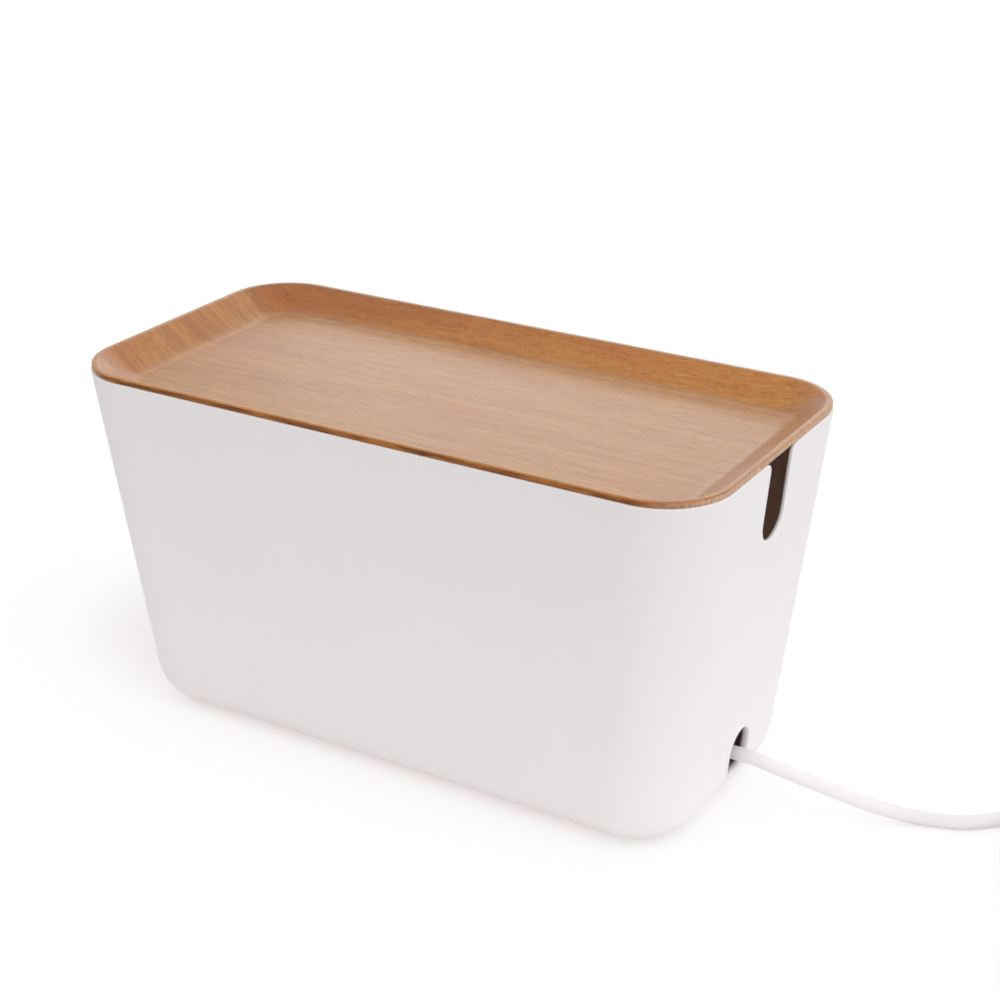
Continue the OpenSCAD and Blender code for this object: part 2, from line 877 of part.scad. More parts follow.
// Bend sleeve on the plug: a root seated in the grip, and a taper outside it
module plug_sleeve() {
    root = plug_grip_r - plug_seat;
    color(tub_white)
        at_plug()
            translate([0, -plug_seat, plug_lead_z])
                rotate([90, 0, 0]) {
                    cylinder(r = plug_sleeve_r, h = root + slice);
                    translate([0, 0, root])
                        cylinder(r1 = plug_sleeve_r, r2 = gland_tip_r, h = plug_sleeve_l);
                }
}

box_shell();
foot(-1, -1);  // foot_front_left
foot(1, -1);  // foot_front_right
foot(-1, 1);  // foot_back_left
foot(1, 1);  // foot_back_right
lid_tray();
strip_base();
strip_cover();
strip_screws();
contact_rail(pin_y);  // live_busbar
contact_rail(-pin_y);  // neutral_busbar
earth_rail();
switch_frame();
switch_rocker();
switch_terminals();
live_leads();
neutral_leads();
earth_lead();
cord_clamp();
clamp_screws();
strip_sleeve();
cord_inner_end();
mains_cord();
cord_coil();
coil_ties();
cord_tail();
plug_body();
plug_pins();
plug_earth_contacts();
plug_sleeve();
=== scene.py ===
"""Looks of the cable management box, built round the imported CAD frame. Metres, +Z up."""
import math

import bmesh
import bpy
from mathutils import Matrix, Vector


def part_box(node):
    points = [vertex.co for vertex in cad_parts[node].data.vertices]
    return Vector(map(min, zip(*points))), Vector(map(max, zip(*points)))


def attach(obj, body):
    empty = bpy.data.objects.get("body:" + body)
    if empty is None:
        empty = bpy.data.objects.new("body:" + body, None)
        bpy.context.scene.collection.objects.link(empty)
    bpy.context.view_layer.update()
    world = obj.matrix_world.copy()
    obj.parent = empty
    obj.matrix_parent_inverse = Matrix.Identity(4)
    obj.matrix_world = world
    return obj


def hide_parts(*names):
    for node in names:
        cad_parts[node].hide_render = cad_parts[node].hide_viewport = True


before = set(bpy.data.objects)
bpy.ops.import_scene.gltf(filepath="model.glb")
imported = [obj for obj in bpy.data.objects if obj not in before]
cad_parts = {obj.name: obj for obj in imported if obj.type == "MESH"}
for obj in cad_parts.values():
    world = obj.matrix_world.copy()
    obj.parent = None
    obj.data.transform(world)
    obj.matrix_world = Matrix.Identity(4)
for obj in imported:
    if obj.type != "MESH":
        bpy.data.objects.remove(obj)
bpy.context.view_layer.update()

MM = 0.001
FEET = ("foot_front_left", "foot_front_right", "foot_back_left", "foot_back_right")

# ---------------------------------------------------------------- sizes

# Tub, where the frame's boxes don't give them. Its rim ends RIM_DROP below the CAD's.
CORNER_R = 30 * MM
EDGE_R = 19 * MM
WALL = 1.8 * MM
FLOOR = 2.5 * MM
BASE_L = 275.6 * MM
BASE_W = 121.2 * MM
RIM_DROP = 0.35 * MM
RIM_ROUND = 0.85 * MM
EDGE_ROUND = 0.7 * MM
FOOT_RECESS = 1 * MM
FIT = 0.05 * MM

# Cable slots, open at the rim
SLOT_W = 20 * MM
SLOT_DEPTH = 38 * MM
SLOT_MOUTH_R = 4.5 * MM

# Low cable holes, with heights over the tub's bottom, and the collar moulded round each of them
HOLE_W = 18.5 * MM
HOLE_TOP = 36 * MM
HOLE_BOTTOM = 16.1 * MM
HOLE_CORNER_R = 3.5 * MM
COLLAR_OUT = 0.5 * MM
COLLAR_SUNK = 1.0 * MM
COLLAR_R = 0.9 * MM
COLLAR_DEPTH = 1.7 * MM

# Lid. The underside of its lip reaches LIP_SEAT below the CAD's.
LID_T = 2 * MM
LID_INSET = 0.5 * MM
LIP_FLAT = 1 * MM
LIP_ROLL_R = 2.4 * MM
LIP_EDGE_R = 0.8 * MM
LIP_LOWER_R = 0.3 * MM
LIP_SEAT = 0.55 * MM
DISH_DEPTH = 10 * MM
DISH_BLEND_R = 18 * MM
DISH_SLOPE = math.atan2(10, 13.5)

# Lead, its coil and the ties. Angles are in degrees, seen from above.
CORD_D = 6 * MM
CORD_R = CORD_D / 2
CORD_STEP = 2.5 * MM
COIL_POS = Vector((299, 33, 0)) * MM
COIL_OUT_R = 42.5 * MM
COIL_IN_R = 22.9 * MM
COIL_LOW = 3.9 * MM
COIL_HIGH = 9.95 * MM
COIL_FROM = 130
COIL_TO = -20
COIL_LAYER_TURNS = 3
COIL_STEP = 6
COIL_CLIMB = 120
TIE_TURNS = (60, 240)
TIE_W = 9 * MM
TIE_T = 0.9 * MM
TIE_BEND_R = 3 * MM

# Steps along an arc, and points round a circle
TUB_CORNER_STEPS = 24
TUB_EDGE_STEPS = 12
OPENING_STEPS = 32
MOUTH_STEPS = 10
HOLE_CORNER_STEPS = 12
COLLAR_SIDES = 16
FOOT_SIDES = 48
TRAY_CORNER_STEPS = 32
ROLL_STEPS = 8
BLEND_STEPS = 24
LIP_STEPS = 8
LIP_LOWER_STEPS = 4
CORD_SIDES = 20
TIE_BEND_STEPS = 6

# How far a cutter runs past what it cuts
PAST_END = 10 * MM
PAST_TOP = 5 * MM
# How near points are that get joined at a loft's seam, after a bevel and after a cut
SEAM_NEAR = 0.001 * MM
WELD_NEAR = 0.005 * MM
CUT_NEAR = 0.02 * MM
# Edges shorter than this go after a cut
CUT_SLIVER = 0.01 * MM
# How near the rim's top and its outline an edge lies that belongs to its outer edge
RIM_TOP_NEAR = 0.01 * MM
RIM_OUT_NEAR = 0.2 * MM
# Faces that meet at a larger angle have a sharp edge between them
SHARP_ANGLE = 35


def millimetres(points):
    """Points given in millimetres, as vectors in metres."""
    return [Vector(p) * MM for p in points]


# Route of the lead from the strip's sleeve to its coil, and from the coil to the plug's sleeve
CORD_ROUTE = millimetres([
    (122, 0, 25), (128, 0, 25), (134, 0, 25), (140, 0, 25), (146, 0.5, 24.6), (152, 1, 23.8),
    (159, 2, 22), (167, 4.5, 19.3), (175, 8, 16), (183, 11.5, 12.7), (190, 15, 9.5),
    (198, 19, 6.6), (206, 22.5, 4.5), (213.5, 25.5, 3.3), (221, 28, 3), (229, 31, 3),
    (236, 36, 3), (242.5, 42, 3), (249, 47, 3), (256, 52.5, 3.3), (262, 57.5, 3.6),
])
TAIL_ROUTE = millimetres([
    (335.5, 9, 10), (333.5, 3.5, 9.4), (331.5, -2, 8.3), (330.5, -4.75, 8), (329.5, -7.5, 8),
])


# ---------------------------------------------------------------- camera

# Fitted to the outlines of the rim, the base and the sides in the photograph
EYE = (0.4257, -0.6729, 0.4647)
CAMERA_YAW = 30.877
CAMERA_PITCH = 24.016
CAMERA_LENS = 71.68
CAMERA_SENSOR = 36
CAMERA_CLIP = (0.05, 50)


def make_camera():
    data = bpy.data.cameras.new("camera")
    data.sensor_width = CAMERA_SENSOR
    data.lens = CAMERA_LENS
    data.clip_start, data.clip_end = CAMERA_CLIP
    camera = bpy.data.objects.new("camera", data)
    camera.location = EYE
    camera.rotation_euler = (math.radians(90 - CAMERA_PITCH), 0, math.radians(CAMERA_YAW))
    bpy.context.collection.objects.link(camera)
    bpy.context.scene.camera = camera


# ---------------------------------------------------------------- meshes

def shade(mesh):
    """Makes faces smooth and keeps the sharp edges between them."""
    mesh.shade_smooth()
    mesh.set_sharp_from_angle(angle=math.radians(SHARP_ANGLE))


def link_mesh(name, mesh, material=None):
    """A new object of that mesh."""
    piece = bpy.data.objects.new(name, mesh)
    bpy.context.collection.objects.link(piece)
    if material:
        mesh.materials.append(material)
    shade(mesh)
    return piece


def loft(name, rings, caps=True):
    """A mesh through closed rings of as many points each."""
    count = len(rings[0])
    verts = [p for ring in rings for p in ring]
    faces = []
    for i in range(len(rings) - 1):
        for k in range(count):
            a, b = i * count + k, i * count + (k + 1) % count
            faces.append((a, b, b + count, a + count))
    if caps:
        last = (len(rings) - 1) * count
        faces.append(tuple(range(count - 1, -1, -1)))
        faces.append(tuple(range(last, last + count)))
    mesh = bpy.data.meshes.new(name)
    mesh.from_pydata(verts, [], faces)
    mesh.validate()
    return mesh


def closed_loft(name, rings):
    """A mesh through closed rings and from the last one back to the first."""
    mesh = loft(name, rings + [rings[0]], caps=False)
    work = bmesh.new()
    work.from_mesh(mesh)
    bmesh.ops.remove_doubles(work, verts=work.verts, dist=SEAM_NEAR)
    bmesh.ops.recalc_face_normals(work, faces=work.faces)
    work.to_mesh(mesh)
    work.free()
    return mesh


def prism(name, outline, low, high):
    """A bar along X with an outline given in Y and Z."""
    return loft(name, [[Vector((x, y, z)) for y, z in outline] for x in (low, high)])


def circle_angles(count):
    """The angles of that many points round a circle."""
    return [math.radians(360 * k / count) for k in range(count)]


def arc(middle, radius, start, end, steps):
    """Points (y, z) on an arc given in degrees."""
    angles = [math.radians(start + (end - start) * k / steps) for k in range(steps + 1)]
    return [
        (middle[0] + radius * math.cos(a), middle[1] + radius * math.sin(a)) for a in angles
    ]


def plan_ring(length, width, radius, height, steps):
    """Points round a rectangle with rounded corners, at a height."""
    points = []
    for i, (sx, sy) in enumerate(((1, 1), (-1, 1), (-1, -1), (1, -1))):
        middle = Vector((sx * (length / 2 - radius), sy * (width / 2 - radius), height))
        for k in range(steps + 1):
            a = math.radians(90 * (i + k / steps))
            points.append(middle + radius * Vector((math.cos(a), math.sin(a), 0)))
    return points


def ease(t):
    """A share from 0 to 1, made to start and end gently."""
    return t * t * (3 - 2 * t)


def apply_modifiers(piece):
    graph = bpy.context.evaluated_depsgraph_get()
    mesh = bpy.data.meshes.new_from_object(piece.evaluated_get(graph))
    old = piece.data
    piece.modifiers.clear()
    piece.data = mesh
    bpy.data.meshes.remove(old)


def cut(piece, cutters):
    """Cuts the cutters out of a piece, one after the other, and removes them."""
    for cutter in cutters:
        boolean = piece.modifiers.new("cut", "BOOLEAN")
        boolean.operation = "DIFFERENCE"
        boolean.solver = "EXACT"
        boolean.object = cutter
    apply_modifiers(piece)
    for cutter in cutters:
        bpy.data.objects.remove(cutter)
    work = bmesh.new()
    work.from_mesh(piece.data)
    bmesh.ops.remove_doubles(work, verts=work.verts, dist=CUT_NEAR)
    bmesh.ops.dissolve_degenerate(work, edges=work.edges, dist=CUT_SLIVER)
    work.to_mesh(piece.data)
    work.free()


def round_edges(piece, width, segments=3, angle=50, weighted=False):
    """Rounds a piece's edges that bend by more than an angle, or those with a bevel weight."""
    bevel = piece.modifiers.new("edges", "BEVEL")
    bevel.width = width
    bevel.segments = segments
    bevel.limit_method = "WEIGHT" if weighted else "ANGLE"
    bevel.angle_limit = math.radians(angle)
    bevel.use_clamp_overlap = False
    bevel.harden_normals = True


def weld(piece):
    """Joins points that lie on each other."""
    piece.modifiers.new("weld", "WELD").merge_threshold = WELD_NEAR


# ---------------------------------------------------------------- tub

def tub_rings(base, top, low, high, edge):
    """Rings of a tapered form from its flat bottom, round its edge and up to its top.

    base and top are a length, a width and a corner radius each.
    """
    slope = (top[0] - base[0]) / 2 / (high - low)
    inset = edge * (math.sqrt(1 + slope * slope) - slope)
    lean = math.atan(slope)
    rings = []
    for k in range(TUB_EDGE_STEPS + 1):
        a = -math.pi / 2 + (math.pi / 2 - lean) * k / TUB_EDGE_STEPS
        out = edge * math.cos(a) - inset
        rings.append(plan_ring(
            base[0] + 2 * out, base[1] + 2 * out, base[2] + out,
            low + edge + edge * math.sin(a), TUB_CORNER_STEPS,
        ))
    rings.append(plan_ring(*top, high, TUB_CORNER_STEPS))
    return rings


def slot_outline(rim):
    """Points (y, z) round a cable slot, past the rim that it is open at."""
    bottom = rim + RIM_DROP - SLOT_DEPTH + SLOT_W / 2
    mouth = SLOT_W / 2 + SLOT_MOUTH_R
    above = rim + PAST_TOP
    return (
        arc((0, bottom), SLOT_W / 2, 180, 360, OPENING_STEPS)
        + arc((mouth, rim - SLOT_MOUTH_R), SLOT_MOUTH_R, 180, 90, MOUTH_STEPS)
        + [(mouth, above), (-mouth, above)]
        + arc((-mouth, rim - SLOT_MOUTH_R), SLOT_MOUTH_R, 90, 0, MOUTH_STEPS)
    )


def hole_outline(floor, grow=0.0):
    """Points (y, z) round a cable hole, arched at its top, or round a line that far outside it."""
    half = HOLE_W / 2 + grow
    radius = HOLE_CORNER_R + grow
    side = HOLE_W / 2 - HOLE_CORNER_R
    corner = floor + HOLE_BOTTOM + HOLE_CORNER_R
    arch = floor + HOLE_TOP - HOLE_W / 2
    return (
        arc((0, arch), half, 0, 180, OPENING_STEPS)
        + [(-half, (arch + corner) / 2)]
        + arc((-side, corner), radius, 180, 270, HOLE_CORNER_STEPS)
        + [(0, corner - radius)]
        + arc((side, corner), radius, 270, 360, HOLE_CORNER_STEPS)
        + [(half, (arch + corner) / 2)]
    )


def end_wall_x(z, low, high):
    """Half the tub's outer length at a height."""
    half = BASE_L / 2 + ((high.x - low.x) - BASE_L) / 2 * (z - low.z) / (high.z - low.z)
    bend = max(0, low.z + EDGE_R - z)
    return half - EDGE_R + math.sqrt(EDGE_R ** 2 - bend ** 2)


def inside_rim(point, length, width):
    """How far a point lies inside the rim's outline, seen from above."""
    x = abs(point.x) - (length / 2 - CORNER_R)
    y = abs(point.y) - (width / 2 - CORNER_R)
    return CORNER_R - (math.hypot(x, y) if x > 0 and y > 0 else max(x, y))


def make_hole_collars(material, low, high):
    """A rounded collar moulded round each cable hole."""
    for name, side in (("hole_collar_right", 1), ("hole_collar_left", -1)):
        line = [
            Vector((side * (end_wall_x(z, low, high) - COLLAR_SUNK), y, z))
            for y, z in hole_outline(low.z, COLLAR_OUT)
        ]
        rings = []
        for k, p in enumerate(line):
            ahead = (line[(k + 1) % len(line)] - line[k - 1]).normalized()
            out = ahead.cross(Vector((1, 0, 0))).normalized()
            up = out.cross(ahead)
            rings.append([
                p + COLLAR_R * math.cos(a) * out + COLLAR_DEPTH * math.sin(a) * up
                for a in circle_angles(COLLAR_SIDES)
            ])
        collar = link_mesh(name, closed_loft(name, rings), material)
        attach(collar, "box")


def foot_cutter(node, floor):
    """A cutter for the recess that a pad sits in."""
    low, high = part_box(node)
    middle = (low + high) / 2
    radius = (high.x - low.x) / 2 + FIT
    rings = [
        [
            Vector((middle.x + radius * math.cos(a), middle.y + radius * math.sin(a), z))
            for a in circle_angles(FOOT_SIDES)
        ]
        for z in (floor - PAST_TOP, floor + FOOT_RECESS)
    ]
    return link_mesh("foot_cutter", loft("foot_cutter", rings))


def make_tub(material):
    low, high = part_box("box_shell")
    high.z -= RIM_DROP
    rim_l, rim_w = high.x - low.x, high.y - low.y
    # The wall's thickness measured level, and the inner floor's share of the height
    wall = WALL * math.sqrt(1 + ((rim_l - BASE_L) / 2 / (high.z - low.z)) ** 2)
    rise = FLOOR / (high.z - low.z)
    inner_base = (
        BASE_L + (rim_l - BASE_L) * rise - 2 * wall,
        BASE_W + (rim_w - BASE_W) * rise - 2 * wall,
        CORNER_R - WALL,
    )
    inner_top = (rim_l - 2 * wall, rim_w - 2 * wall, CORNER_R - WALL)
    outer = tub_rings((BASE_L, BASE_W, CORNER_R), (rim_l, rim_w, CORNER_R), low.z, high.z, EDGE_R)
    inner = tub_rings(inner_base, inner_top, low.z + FLOOR, high.z, EDGE_R - WALL)
    tub = link_mesh("tub", loft("tub", outer + inner[::-1]), material)

    reach = rim_l / 2 + PAST_END
    outlines = {"slot_cutter": slot_outline(high.z), "hole_cutter": hole_outline(low.z)}
    cutters = [
        link_mesh(name, prism(name, outline, -reach, reach)) for name, outline in outlines.items()
    ]
    cutters += [foot_cutter(node, low.z) for node in FEET]
    cut(tub, cutters)
    shade(tub.data)

    # The outer edge of the rim has a larger rounding than the other edges
    weights = tub.data.attributes.new("bevel_weight_edge", "FLOAT", "EDGE").data
    for edge in tub.data.edges:
        ends = [tub.data.vertices[i].co for i in edge.vertices]
        if all(
            p.z > high.z - RIM_TOP_NEAR and inside_rim(p, rim_l, rim_w) < RIM_OUT_NEAR for p in ends
        ):
            weights[edge.index].value = 1
    round_edges(tub, RIM_ROUND, 5, weighted=True)
    round_edges(tub, EDGE_ROUND)
    weld(tub)
    make_hole_collars(material, low, high)
    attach(tub, "box")
    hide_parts("box_shell")


# ---------------------------------------------------------------- lid tray

def tray_profile(top):
    """Points (inset, height, slope) of the tray's upper face, from its lip to its floor."""
    points = [(LIP_EDGE_R, top, 0)]
    start = LIP_EDGE_R + LIP_FLAT
    for k in range(ROLL_STEPS + 1):
        a = DISH_SLOPE * k / ROLL_STEPS
        points.append((start + LIP_ROLL_R * math.sin(a), top - LIP_ROLL_R * (1 - math.cos(a)), a))
    inset, height, slope = points[-1]

    # The blend between wall and floor, measured from where the wall ends
    blend = []
    across = down = 0
    step = DISH_BLEND_R * slope / BLEND_STEPS
    for k in range(BLEND_STEPS):
        a = slope * (1 - ease((k + 0.5) / BLEND_STEPS))
        across += step * math.cos(a)
        down += step * math.sin(a)
        blend.append((across, down, slope * (1 - ease((k + 1) / BLEND_STEPS))))

    drop = DISH_DEPTH - (top - height) - down
    run = drop / math.tan(slope)
    points.append((inset + run / 2, height - drop / 2, slope))
    inset += run
    height -= drop
    points.append((inset, height, slope))
    return points + [(inset + across, height - down, a) for across, down, a in blend]


def make_tray(material):
    """One pressed sheet: lip, sloping walls and a floor that is blended into them."""
    low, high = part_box("lid_tray")
    length, width, top = high.x - low.x, high.y - low.y, high.z
    upper = tray_profile(top)
    lower = [(s - LID_T * math.sin(a), z - LID_T * math.cos(a)) for s, z, a in upper]
    lower = [(max(s, LIP_EDGE_R), min(z, low.z + DISH_DEPTH - LIP_SEAT)) for s, z in lower]
    bottom = top - LID_T - LIP_SEAT
    edge = arc((LIP_LOWER_R, bottom + LIP_LOWER_R), LIP_LOWER_R, 270, 180, LIP_LOWER_STEPS)
    edge += arc((LIP_EDGE_R, top - LIP_EDGE_R), LIP_EDGE_R, 180, 100, LIP_STEPS)
    profile = lower[::-1] + edge + [(s, z) for s, z, a in upper]
    radius = CORNER_R - LID_INSET
    rings = [
        plan_ring(length - 2 * s, width - 2 * s, radius - s, z, TRAY_CORNER_STEPS)
        for s, z in profile
    ]
    tray = link_mesh("tray", loft("tray", rings), material)
    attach(tray, "lid")
    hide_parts("lid_tray")


# ---------------------------------------------------------------- lead

def smooth(points, step):
    """Points of a smooth curve through the given ones, about a step apart."""
    points = [2 * points[0] - points[1], *points, 2 * points[-1] - points[-2]]
    found = []
    for i in range(1, len(points) - 2):
        a, b, c, d = points[i - 1:i + 3]
        count = max(1, round((c - b).length / step))
        for k in range(count):
            t = k / count
            found.append(0.5 * (
                2 * b + t * (c - a) + t * t * (2 * a - 5 * b + 4 * c - d)
                + t ** 3 * (3 * b - a - 3 * c + d)
            ))
    found.append(points[-2])
    return found


def tube(name, path, radius):
    """A round tube along a path, closed at both ends."""
    rings = []
    side = None
    for i, p in enumerate(path):
        ahead = (path[min(i + 1, len(path) - 1)] - path[max(i - 1, 0)]).normalized()
        if side is None:
            side = ahead.cross(Vector((0, 0, 1))).normalized()
        side = (side - ahead * side.dot(ahead)).normalized()
        up = side.cross(ahead)
        rings.append([
            p + radius * (math.cos(a) * side + math.sin(a) * up)
            for a in circle_angles(CORD_SIDES)
        ])
    return loft(name, rings)


def coil_path():
    """The coil's line: clockwise turns inwards on the floor, then outwards on top of them."""
    total = 360 * 2 * COIL_LAYER_TURNS + (COIL_FROM - COIL_TO)
    half = total / 2
    points = []
    steps = round(total / COIL_STEP)
    for k in range(1, steps):
        swept = total * k / steps
        angle = math.radians(COIL_FROM - swept)
        share = swept / half if swept < half else 2 - swept / half
        r = COIL_OUT_R + (COIL_IN_R - COIL_OUT_R) * share
        climb = ease(min(max((swept - half + COIL_CLIMB / 2) / COIL_CLIMB, 0), 1))
        z = COIL_LOW + (COIL_HIGH - COIL_LOW) * climb
        points.append(COIL_POS + Vector((r * math.cos(angle), r * math.sin(angle), z)))
    return points


def make_cord(material):
    """The lead. Returns it with the points of its line and its length."""
    path = smooth(CORD_ROUTE + coil_path() + TAIL_ROUTE, CORD_STEP)
    for p in path:
        p.z = max(p.z, CORD_R)
    lead = link_mesh("lead", tube("lead", path, CORD_R), material)
    length = sum((b - a).length for a, b in zip(path, path[1:]))
    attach(lead, "box")
    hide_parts("mains_cord", "cord_coil", "cord_tail")
    return lead, path, length


def make_ties(material):
    """Two straps round the coil's turns."""
    inner = COIL_IN_R - CORD_R - TIE_T / 2
    outer = COIL_OUT_R + CORD_R + TIE_T / 2
    low, high = TIE_T / 2, TIE_T * 1.5 + 2 * CORD_D
    middle = Vector(((inner + outer) / 2, (low + high) / 2))
    side_l = (outer - inner) / 2 - TIE_BEND_R
    side_h = (high - low) / 2 - TIE_BEND_R
    line = []
    for i, (sx, sy) in enumerate(((1, 1), (-1, 1), (-1, -1), (1, -1))):
        corner = (sx * side_l, sy * side_h)
        line += arc(corner, TIE_BEND_R, 90 * i, 90 * i + 90, TIE_BEND_STEPS)
    line = [Vector(p) for p in line]
    rings = []
    for k, p in enumerate(line):
        ahead = (line[(k + 1) % len(line)] - line[k - 1]).normalized()
        out = Vector((ahead.y, -ahead.x))
        ring = []
        for across, thick in ((-1, -1), (1, -1), (1, 1), (-1, 1)):
            q = p + out * thick * TIE_T / 2
            ring.append(Vector((middle.x + q.x, across * TIE_W / 2, middle.y + q.y)))
        rings.append(ring)
    pieces = []
    for name, turn in zip(("tie_1", "tie_2"), TIE_TURNS):
        tie = link_mesh(name, closed_loft(name, rings), material)
        angle = math.radians(turn)
        for v in tie.data.vertices:
            x, y = v.co.x, v.co.y
            v.co.x = COIL_POS.x + x * math.cos(angle) - y * math.sin(angle)
            v.co.y = COIL_POS.y + x * math.sin(angle) + y * math.cos(angle)
        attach(tie, "box")
        pieces.append(tie)
    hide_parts("coil_ties")
    return pieces


# ---------------------------------------------------------------- materials

# Each layer of the veneer's grain: its scale along X and across it, its detail and its roughness
SWAY = ((8, 14, 0), 2, 0.5)
BANDS = ((4.5, 75, 0), 2, 0.5)
STREAKS = ((28, 330, 0), 3, 0.6)
DASHES = ((140, 820, 0), 3, 0.65)
FIBRES = ((420, 2300, 0), 2, 0.6)
SMUDGES = ((8, 40, 0), 2, 0.5)
PORES = ((210, 1500, 0), 2, 0.6)
# How far the sway moves the grain sideways
SWAY_REACH = 0.020
# What bands, streaks, dashes and fibres add to the tone, and its range from dark to pale
TONE_SHARES = (0.22, 0.28, 0.38, 0.34)
TONE_RANGE = (0.32, 0.88)
# Where smudges and pores begin and are full, and how much they cover
SMUDGE_RANGE, SMUDGE_COVER = (0.52, 0.72), 0.6
PORE_RANGE, PORE_COVER = (0.58, 0.72), 0.5
# Darker colour towards the left of the back wall: where it begins across and fades out along, and
# its cover
BACK_LEFT_DARK_ACROSS = (0.050, 0.066)
BACK_LEFT_DARK_ALONG = (-0.10, 0.06)
BACK_LEFT_DARK_COVER = 0.45
# Where the stripes in the end walls begin and are full, and how much they cover
STRIPE_RANGE, STRIPE_COVER = (0.46, 0.60), 0.5
# Grain in the cut edge along the long sides and at the ends
SIDE_FIBRES = (70, 420, 900)
END_FIBRES = (60, 800, 150)

WOOD_PALE = (0.505, 0.240, 0.062)
WOOD_MID = (0.355, 0.130, 0.024)
WOOD_DEEP = (0.180, 0.052, 0.007)
WOOD_RUDDY = (0.380, 0.112, 0.034)
WOOD_BACK_LEFT_DARK = (0.200, 0.050, 0.009)
WOOD_STRIPE = (0.265, 0.085, 0.028)
# Cut edge colours: dark on the long sides, partly ply colour and partly painted shade; pale at the
# ends, partly grain and partly painted light
SIDE_CUT_AND_SHADE = ((0.150, 0.043, 0.010), (0.400, 0.150, 0.038))
END_CUT_AND_LIGHT = ((0.440, 0.236, 0.130), (0.680, 0.462, 0.312))
# Painted light: what the colour is multiplied by on the long walls and on the end walls, to stand
# in for how light falls on them
LONG_WALL_PAINTED_LIGHT = (1.17, 1.09, 1.02)
END_WALL_PAINTED_LIGHT = (1.04, 1.02, 1.15)


def add(tree, kind, inputs=None, **settings):
    """A new node. An input's value is a number, a colour or another node's socket."""
    node = tree.nodes.new(kind)
    for name, value in settings.items():
        setattr(node, name, value)
    for key, value in (inputs or {}).items():
        if isinstance(value, bpy.types.NodeSocket):
            tree.links.new(value, node.inputs[key])
        else:
            node.inputs[key].default_value = value
    return node


def new_material(name, colour, roughness, **settings):
    """A Principled material. Returns it with its tree and shader."""
    material = bpy.data.materials.new(name)
    material.use_nodes = True
    tree = material.node_tree
    shader = tree.nodes["Principled BSDF"]
    shader.inputs["Base Color"].default_value = (*colour, 1)
    shader.inputs["Roughness"].default_value = roughness
    for key, value in settings.items():
        shader.inputs[key.replace("_", " ")].default_value = value
    return material, tree, shader


def scaled(tree, vector, scale):
    """A vector multiplied by a scale along each axis."""
    return add(
        tree, "ShaderNodeVectorMath", {0: vector, 1: scale}, operation="MULTIPLY"
    ).outputs[0]


def stretched(tree, scale):
    """Object coordinates in metres, multiplied by a scale along each axis."""
    return scaled(tree, add(tree, "ShaderNodeTexCoord").outputs["Object"], scale)


def even(scale):
    """The same scale along each axis."""
    return (scale, scale, scale)


def noise(tree, vector, detail=3, roughness=0.5):
    return add(
        tree, "ShaderNodeTexNoise",
        {"Vector": vector, "Scale": 1, "Detail": detail, "Roughness": roughness},
    ).outputs["Fac"]


def ramp(tree, value, low, high, to_low=0.0, to_high=1.0):
    """Maps a value from one range to another, clamped."""
    return add(
        tree, "ShaderNodeMapRange",
        {"Value": value, "From Min": low, "From Max": high, "To Min": to_low, "To Max": to_high},
    ).outputs[0]


def spread(tree, value, to_low=0.0, to_high=1.0):
    """Maps the range that most of a noise lies in to another one."""
    return ramp(tree, value, 0.3, 0.7, to_low, to_high)


def math_node(tree, operation, a, b):
    return add(tree, "ShaderNodeMath", {0: a, 1: b}, operation=operation).outputs[0]


def plus(tree, a, b):
    return math_node(tree, "ADD", a, b)


def times(tree, a, b):
    return math_node(tree, "MULTIPLY", a, b)


def mix(tree, factor, a, b, blend="MIX"):
    """Mixes two colours."""
    node = add(tree, "ShaderNodeMix", data_type="RGBA", blend_type=blend)
    for key, value in ((0, factor), (6, a), (7, b)):
        if isinstance(value, bpy.types.NodeSocket):
            tree.links.new(value, node.inputs[key])
        else:
            node.inputs[key].default_value = value if key == 0 else (*value, 1)
    return node.outputs[2]


def mottle(tree, shader, factor, colour, dark, bright=1.0):
    """Lets the base colour vary between a darker and a brighter shade of itself."""
    tint = mix(tree, factor, [dark * c for c in colour], [bright * c for c in colour])
    tree.links.new(tint, shader.inputs["Base Color"])


def bump(tree, shader, height, strength, distance):
    """Relief of the surface, and of its coat where it has one."""
    node = add(
        tree, "ShaderNodeBump",
        {"Height": height, "Strength": strength, "Distance": distance},
    )
    tree.links.new(node.outputs[0], shader.inputs["Normal"])
    if shader.inputs["Coat Weight"].default_value:
        tree.links.new(node.outputs[0], shader.inputs["Coat Normal"])


def moulded_plastic(name, colour, roughness, grain=2600, depth=0.03 * MM, **settings):
    """Plastic with a fine moulded texture and a faint unevenness of colour and gloss."""
    material, tree, shader = new_material(name, colour, roughness, **settings)
    cloud = noise(tree, stretched(tree, even(14)))
    mottle(tree, shader, spread(tree, cloud), colour, 0.985)
    gloss = ramp(tree, cloud, 0.25, 0.75, roughness - 0.03, roughness + 0.03)
    tree.links.new(gloss, shader.inputs["Roughness"])
    bump(tree, shader, noise(tree, stretched(tree, even(grain)), 2), 0.25, depth)
    return material


def cut_edge(tree, facing):
    """Colour of the tray's cut edge: fine layers along the long sides, darkened there partly with
    painted shade, and pale grain at the ends, lightened there partly with painted light.
    """
    side_grain = noise(tree, stretched(tree, SIDE_FIBRES), 2)
    side = mix(tree, ramp(tree, side_grain, 0.36, 0.64), *SIDE_CUT_AND_SHADE)
    end_grain = noise(tree, stretched(tree, END_FIBRES), 2)
    end = mix(tree, spread(tree, end_grain), *END_CUT_AND_LIGHT)
    return mix(tree, ramp(tree, facing["X"], 0.2, 0.85), side, end)


